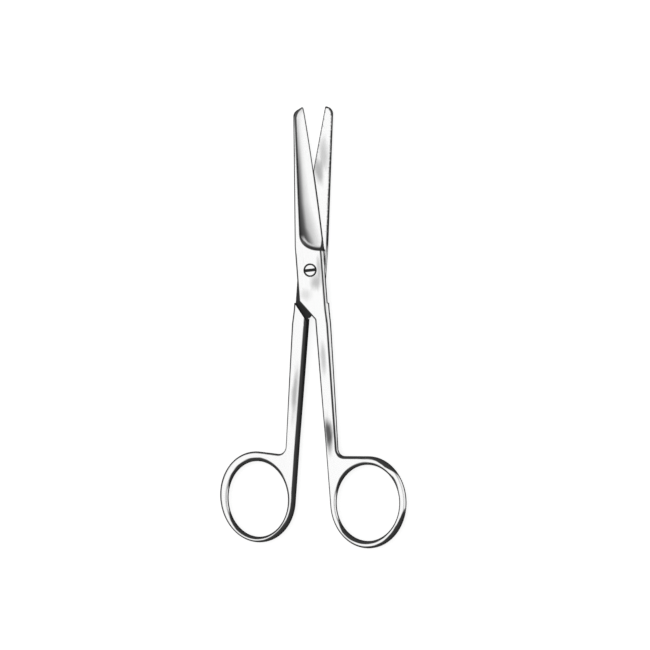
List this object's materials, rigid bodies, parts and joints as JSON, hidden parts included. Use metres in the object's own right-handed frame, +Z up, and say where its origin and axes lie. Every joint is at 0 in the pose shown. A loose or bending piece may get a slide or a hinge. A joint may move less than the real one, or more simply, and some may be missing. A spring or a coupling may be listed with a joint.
{
  "type": "surgical scissors",
  "caption": "Straight steel operating scissors with blunt tips, slim shanks and oval finger rings, turning on a flush slotted screw, lying flat and partly open.",
  "frame": {"origin": "centre of the pivot screw's flush lower end, on the plane the scissors lie on", "axes": "+Y along the middle of the pair towards the blade tips, +Z up out of the upper half's face, +X towards the upper half's finger ring"},
  "size_m": [0.0624, 0.1446, 0.0044],
  "materials": {
    "polished_steel": "polished",
    "screw_steel": "satin"
  },
  "bodies": {
    "lower_half": {"rear_half": "polished_steel", "pivot_screw": "screw_steel"},
    "upper_half": {"front_half": "polished_steel"}
  },
  "joints": [
    {"name": "pivot", "type": "hinge", "parent": "lower_half", "child": "upper_half", "pos_m": [0, 0, 0.0022], "axis": [0, 0, 1], "range_deg": [-8.6, 81.4]}
  ]
}
